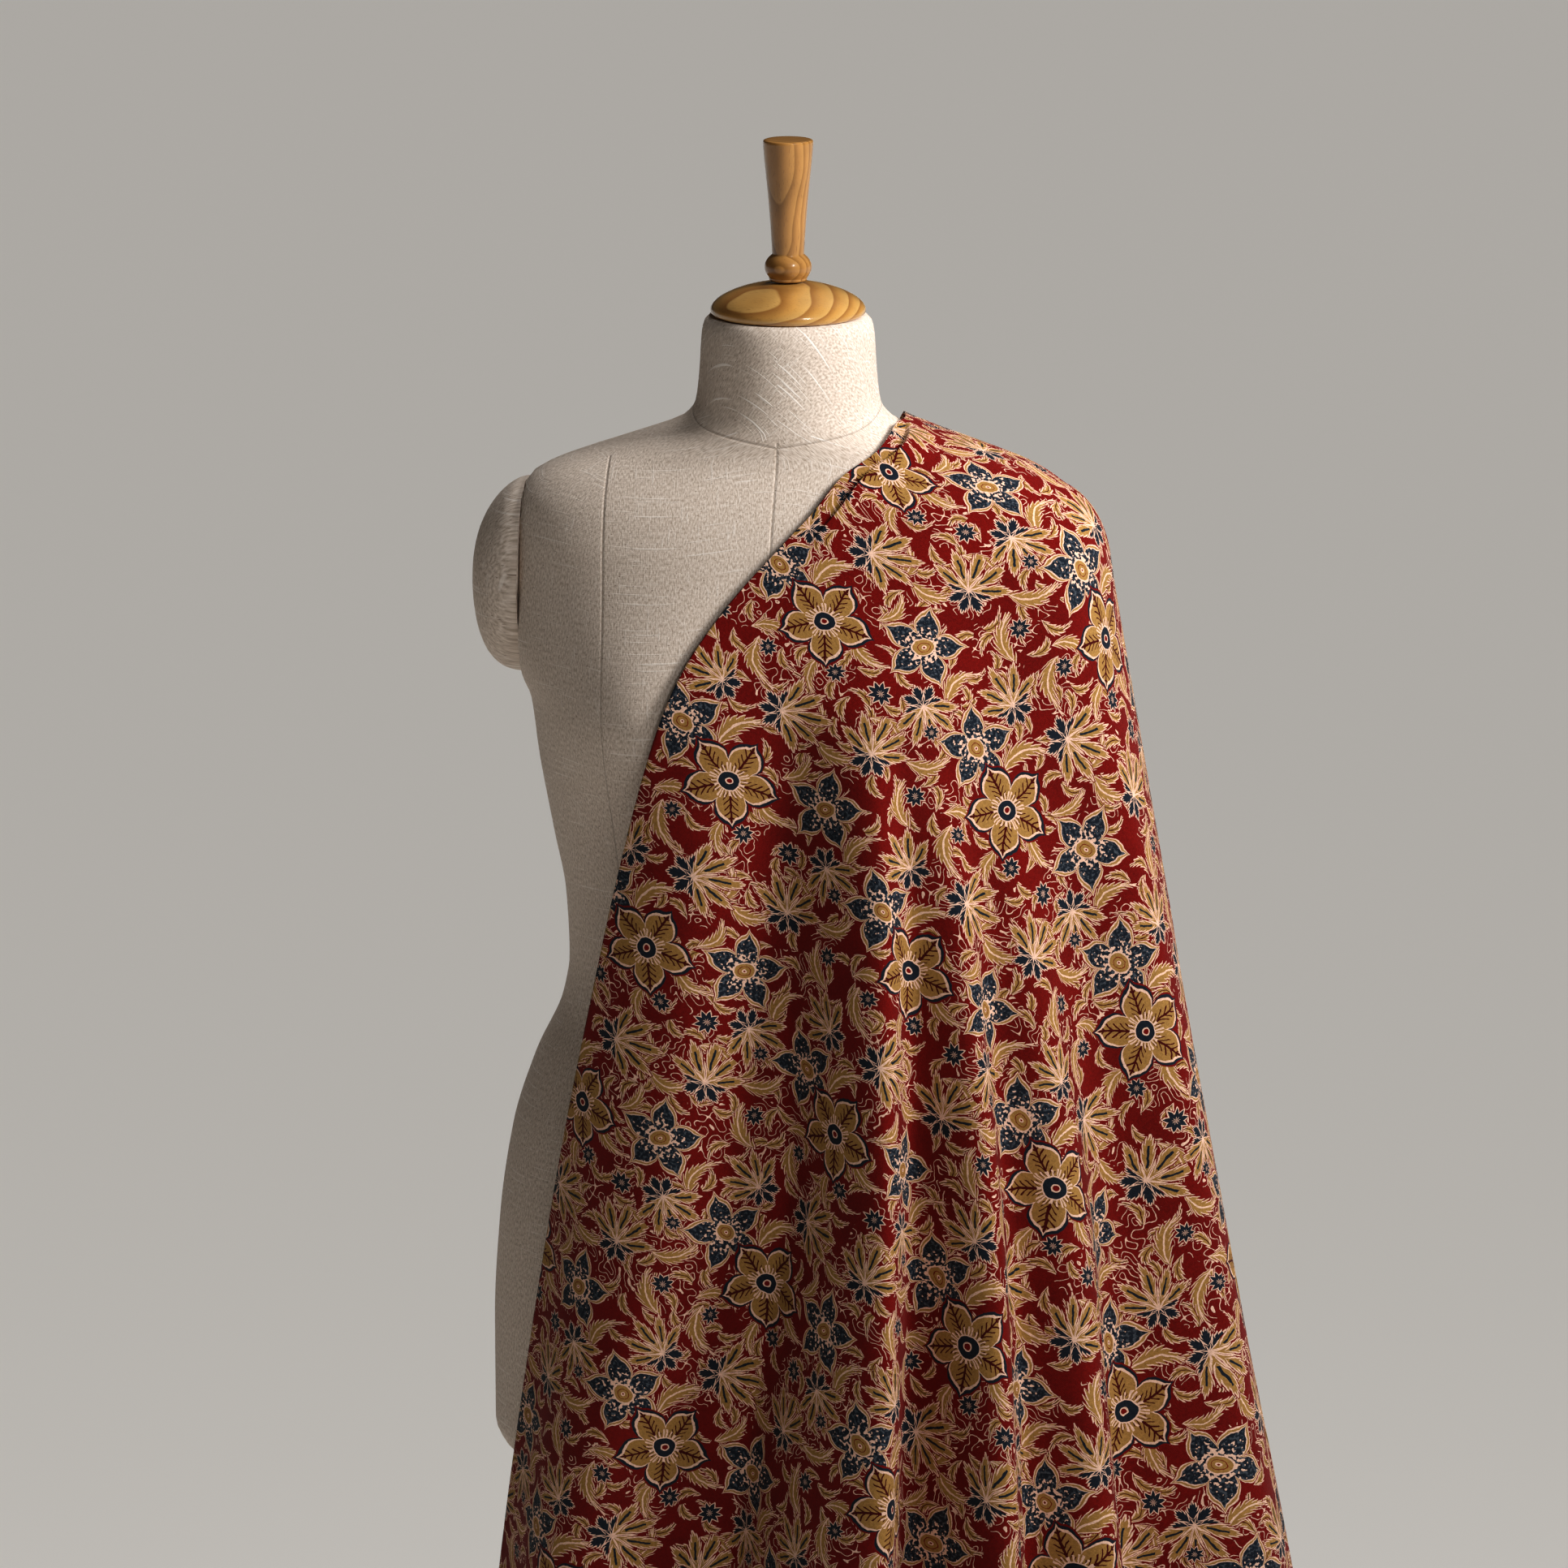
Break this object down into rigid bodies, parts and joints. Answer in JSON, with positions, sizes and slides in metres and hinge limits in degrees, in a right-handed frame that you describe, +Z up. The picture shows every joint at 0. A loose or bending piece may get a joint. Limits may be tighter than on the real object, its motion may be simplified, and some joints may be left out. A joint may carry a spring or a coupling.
{
  "type": "printed cotton cloth draped on a dress form",
  "caption": "Block-printed cotton length hung over one shoulder of a linen-covered dress form on a turned wooden stand.",
  "frame": {"origin": "centre of the underside of the stand's base, on the floor", "axes": "+Z up the pole to the finial, -Y the way the form faces, +X towards the draped shoulder"},
  "size_m": [0.5679, 0.5218, 1.5776],
  "materials": {
    "printed_cotton": "matt mordant-printed and dyed cotton",
    "linen_cover": "matt unbleached linen",
    "varnished_wood": "satin varnish",
    "stained_wood": "dark stain, satin"
  },
  "bodies": {
    "root": {"kalamkari_cloth": "printed_cotton", "torso": "linen_cover", "arm_cap_bare": "linen_cover", "arm_cap_draped": "linen_cover", "neck_cap": "varnished_wood", "finial": "varnished_wood", "stand_pole": "stained_wood", "stand_base": "stained_wood"}
  },
  "joints": []
}
